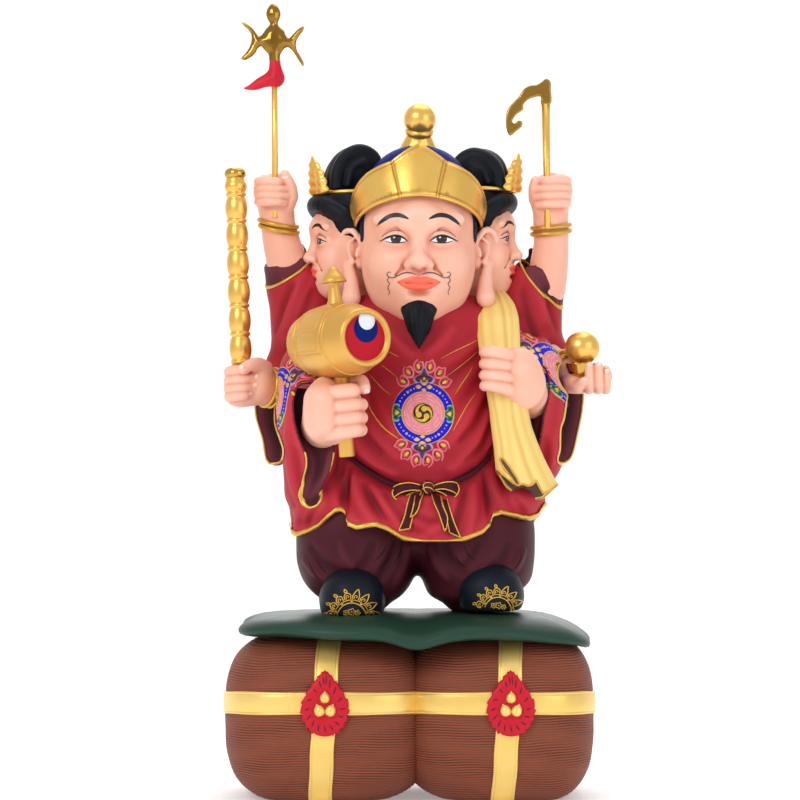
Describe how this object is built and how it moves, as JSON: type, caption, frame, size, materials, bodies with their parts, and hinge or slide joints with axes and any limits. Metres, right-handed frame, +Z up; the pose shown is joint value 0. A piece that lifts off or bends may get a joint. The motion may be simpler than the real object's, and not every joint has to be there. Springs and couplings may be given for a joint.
{
  "type": "three-faced daikokuten statue",
  "caption": "Painted temple statue of the wealth deity with three faces and raised arms, holding mallet, trident, key, staff and jewel, standing on strapped rice bales with a lotus leaf.",
  "frame": {"origin": "on the floor, under the middle of the two bales", "axes": "+Z up, the figure faces -Y, +X towards the statue's own left hand side"},
  "size_m": [0.6395, 0.5306, 1.3132],
  "materials": {
    "straw_brown": "matt red-brown paint over cast straw lines",
    "leaf_green": "satin dark green paint",
    "badge_crimson": "satin crimson paint",
    "robe_crimson": "satin crimson paint",
    "plum_paint": "satin plum paint",
    "skin_paint": "soft satin skin-coloured paint",
    "navy_paint": "satin navy paint",
    "black_paint": "satin black paint",
    "sack_yellow": "matt pale yellow paint",
    "ornament_paint": "hand-painted ornament colours",
    "gold_paint": "satin gold paint",
    "polished_gold": "polished gold plating"
  },
  "bodies": {
    "root": {"bale_base": "straw_brown", "flame_jewel_badge_left": "badge_crimson", "flame_jewel_badge_right": "badge_crimson", "figure": "robe_crimson", "mallet": "gold_paint", "ringed_club": "gold_paint", "trident_rod": "gold_paint", "trident_head": "polished_gold", "key_rod": "gold_paint", "key_crook": "polished_gold", "wish_jewel": "gold_paint", "jewel_cup": "polished_gold"}
  },
  "joints": []
}
